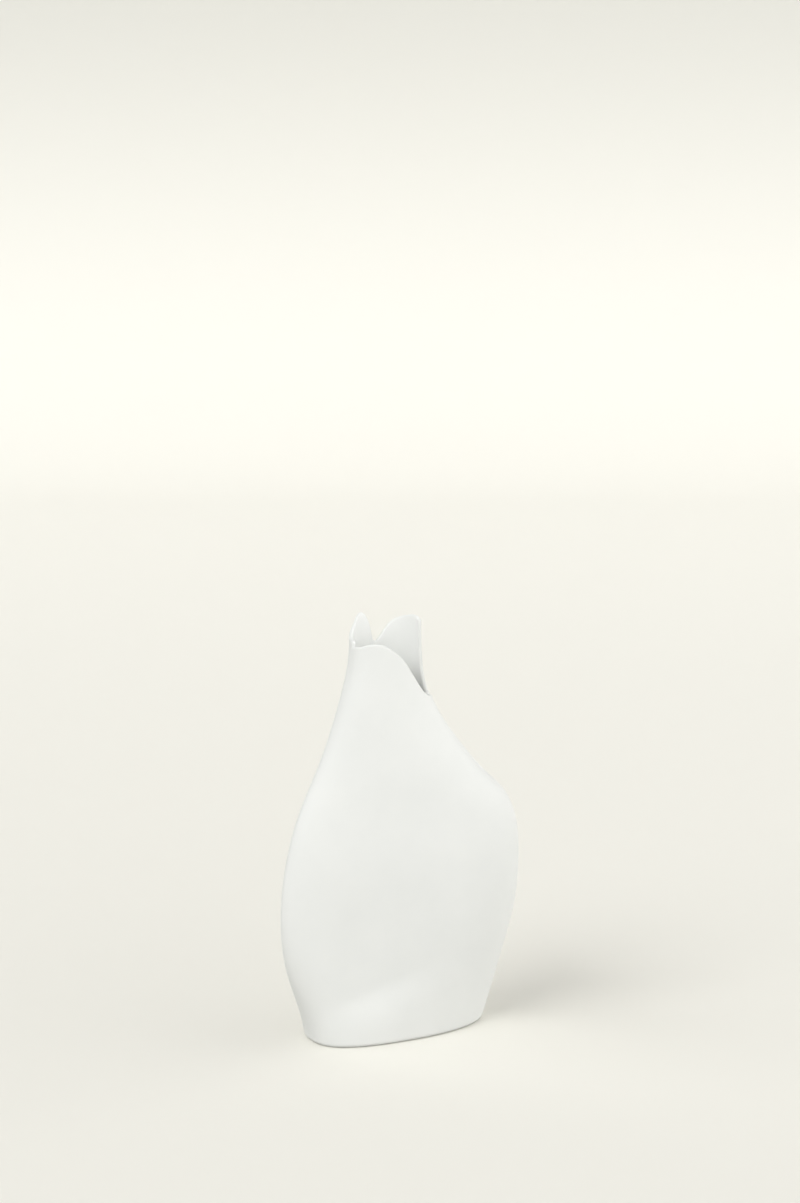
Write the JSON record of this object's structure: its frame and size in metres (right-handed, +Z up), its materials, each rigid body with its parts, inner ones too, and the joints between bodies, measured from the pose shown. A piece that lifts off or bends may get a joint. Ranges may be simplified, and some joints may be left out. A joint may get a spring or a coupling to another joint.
{
  "type": "pillow vase",
  "caption": "Flattened pillow vase in matte white porcelain: wide leaning belly, narrow neck, ears cut into the back of the rim and a lip that slopes down in front, for a few cut stems.",
  "frame": {"origin": "centre of the base, on the surface that the vase stands on", "axes": "+Z up, +X along the width towards the high right shoulder, -Y out of the front with the low lip; the side seams lie in Y = 0"},
  "size_m": [0.1254, 0.0521, 0.2026],
  "materials": {
    "porcelain": "matte unglazed bisque"
  },
  "bodies": {
    "root": {"front_wall": "porcelain", "back_wall": "porcelain", "base_slab": "porcelain", "base_seam_coil": "porcelain", "left_seam_coil": "porcelain", "right_seam_coil": "porcelain"}
  },
  "joints": []
}
